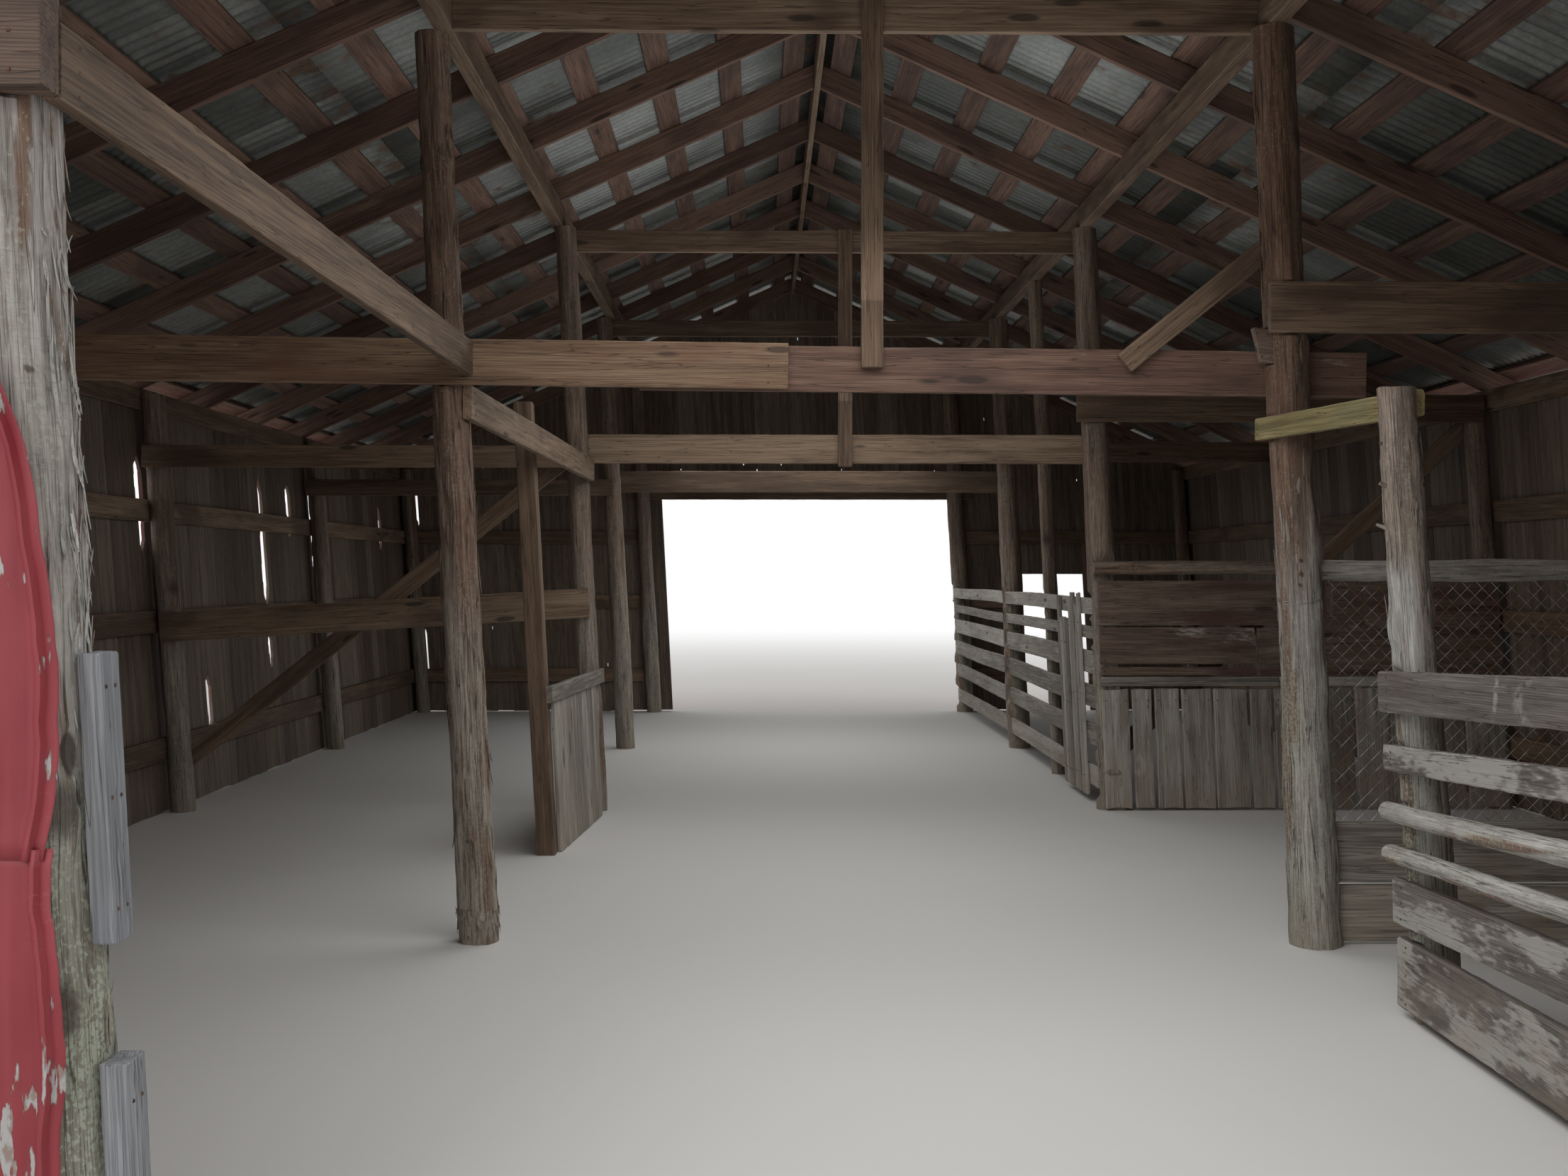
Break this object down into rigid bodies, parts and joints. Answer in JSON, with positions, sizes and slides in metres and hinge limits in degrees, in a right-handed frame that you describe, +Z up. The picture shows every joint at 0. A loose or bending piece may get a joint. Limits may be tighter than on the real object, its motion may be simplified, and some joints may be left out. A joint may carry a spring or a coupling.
{
  "type": "barn",
  "caption": "Long gabled pole barn with open doorways at both ends, a centre aisle between rows of leaning log poles, fenced side pens, faded red walls and a metal roof.",
  "frame": {"origin": "on the ground under the ridge, midway between the two end walls", "axes": "+X to the right seen from the front doorway, +Y from the front end to the back end along the ridge, +Z up"},
  "size_m": [9.3048, 15.026, 4.7925],
  "materials": {
    "timber": "rough sawn, aged brown",
    "logs": "peeled log, weathered grey",
    "boards": "rough board, weathered grey",
    "red_boards": "faded red paint over boards",
    "red_metal": "faded, chipped red paint",
    "roof_metal": "dull weathered zinc",
    "wire": "dull galvanised wire"
  },
  "bodies": {
    "root": {"left_aisle_poles": "logs", "right_aisle_poles": "logs", "wall_posts": "logs", "purlin_plates": "timber", "wall_plates": "timber", "tie_beams": "timber", "collar_beams": "timber", "hangers": "timber", "knee_brace": "timber", "side_braces": "timber", "side_beams": "timber", "left_side_rail": "timber", "front_headers": "boards", "back_header": "timber", "aisle_girts": "timber", "aisle_stud": "timber", "pole_cleats": "boards", "ridge_board": "timber", "left_rafters": "timber", "right_rafters": "timber", "left_laths": "timber", "right_laths": "timber", "left_roof": "roof_metal", "right_roof": "roof_metal", "ridge_cap": "roof_metal", "wall_girts": "timber", "end_girts": "timber", "left_wall": "red_boards", "right_wall": "red_boards", "front_left_wall": "red_metal", "front_right_wall": "red_metal", "front_gable": "red_metal", "back_left_wall": "red_boards", "back_right_wall": "red_boards", "back_gable": "red_boards", "low_partition": "boards", "stall_partition": "boards", "log_rails": "logs", "wire_mesh_panel": "wire", "mesh_base_boards": "boards", "pen_post": "logs", "pen_tie": "boards", "pen_fence": "boards", "slatted_fence": "boards"}
  },
  "joints": []
}
